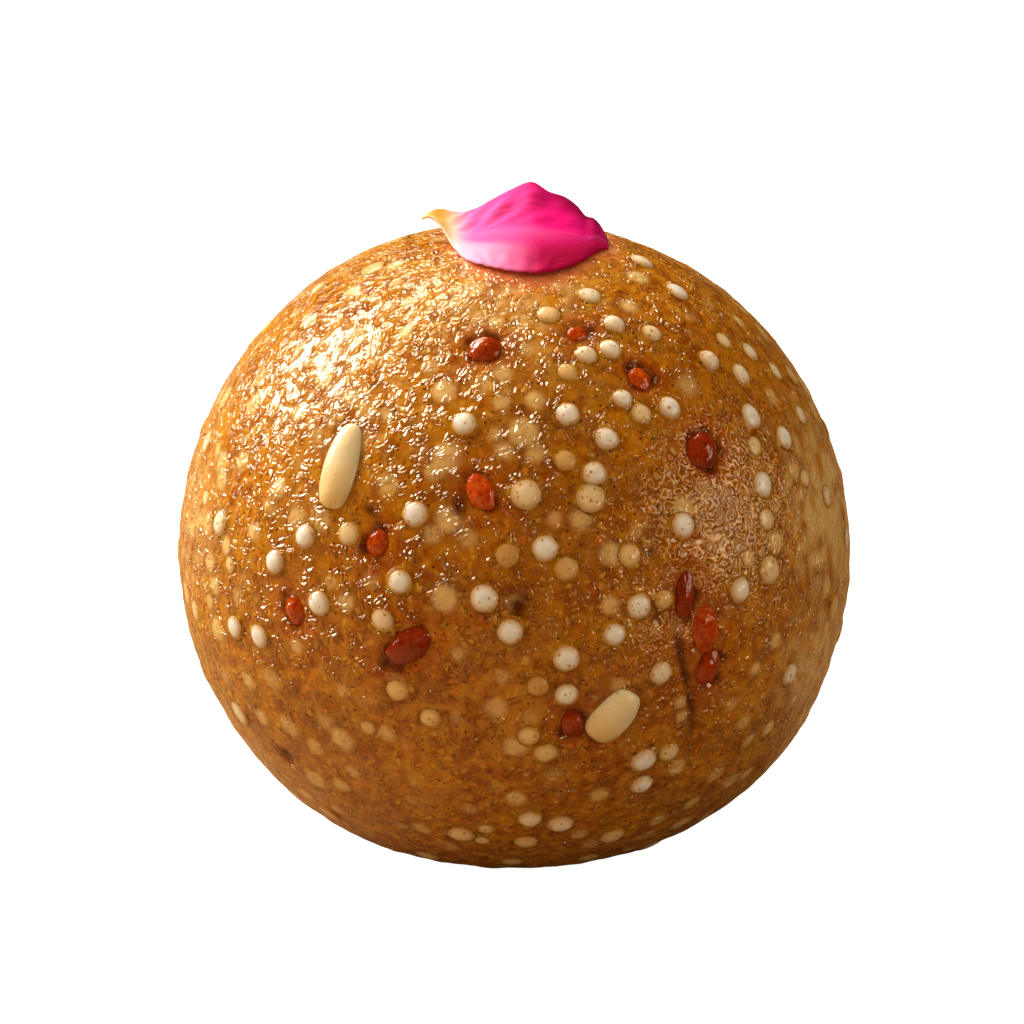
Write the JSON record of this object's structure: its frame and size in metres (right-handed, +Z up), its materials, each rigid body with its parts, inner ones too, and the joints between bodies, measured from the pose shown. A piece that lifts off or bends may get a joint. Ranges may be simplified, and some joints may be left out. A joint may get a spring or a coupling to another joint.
{
  "type": "fenugreek ladoo",
  "caption": "Hand-rolled ball of golden sweet dough set with sago pearls, seed kernels and bits of red dried fruit, a rose petal laid on top; rests on a small flat spot.",
  "frame": {"origin": "middle of the flat spot that the ball rests on", "axes": "+Z up from the table; -Y towards the side that shows best"},
  "size_m": [0.0502, 0.0503, 0.0494],
  "materials": {
    "dough": "glossy, syrupy, translucent golden brown",
    "kernel": "smooth ivory seed flesh",
    "red_fruit": "wet, wrinkled dark red",
    "petal": "soft magenta pink, yellow at its claw"
  },
  "bodies": {
    "root": {"ladoo_ball": "dough", "seed_kernel_1": "kernel", "seed_kernel_2": "kernel", "seed_kernel_3": "kernel", "seed_kernel_4": "kernel", "seed_kernel_5": "kernel", "fruit_bit_1": "red_fruit", "fruit_bit_2": "red_fruit", "fruit_bit_3": "red_fruit", "fruit_bit_4": "red_fruit", "fruit_bit_5": "red_fruit", "fruit_bit_6": "red_fruit", "fruit_bit_7": "red_fruit", "fruit_bit_8": "red_fruit", "fruit_bit_9": "red_fruit", "fruit_bit_10": "red_fruit", "fruit_bit_11": "red_fruit", "fruit_bit_12": "red_fruit", "fruit_bit_13": "red_fruit", "fruit_bit_14": "red_fruit", "fruit_bit_15": "red_fruit", "fruit_bit_16": "red_fruit", "fruit_bit_17": "red_fruit", "fruit_bit_18": "red_fruit", "fruit_bit_19": "red_fruit", "rose_petal": "petal"}
  },
  "joints": []
}
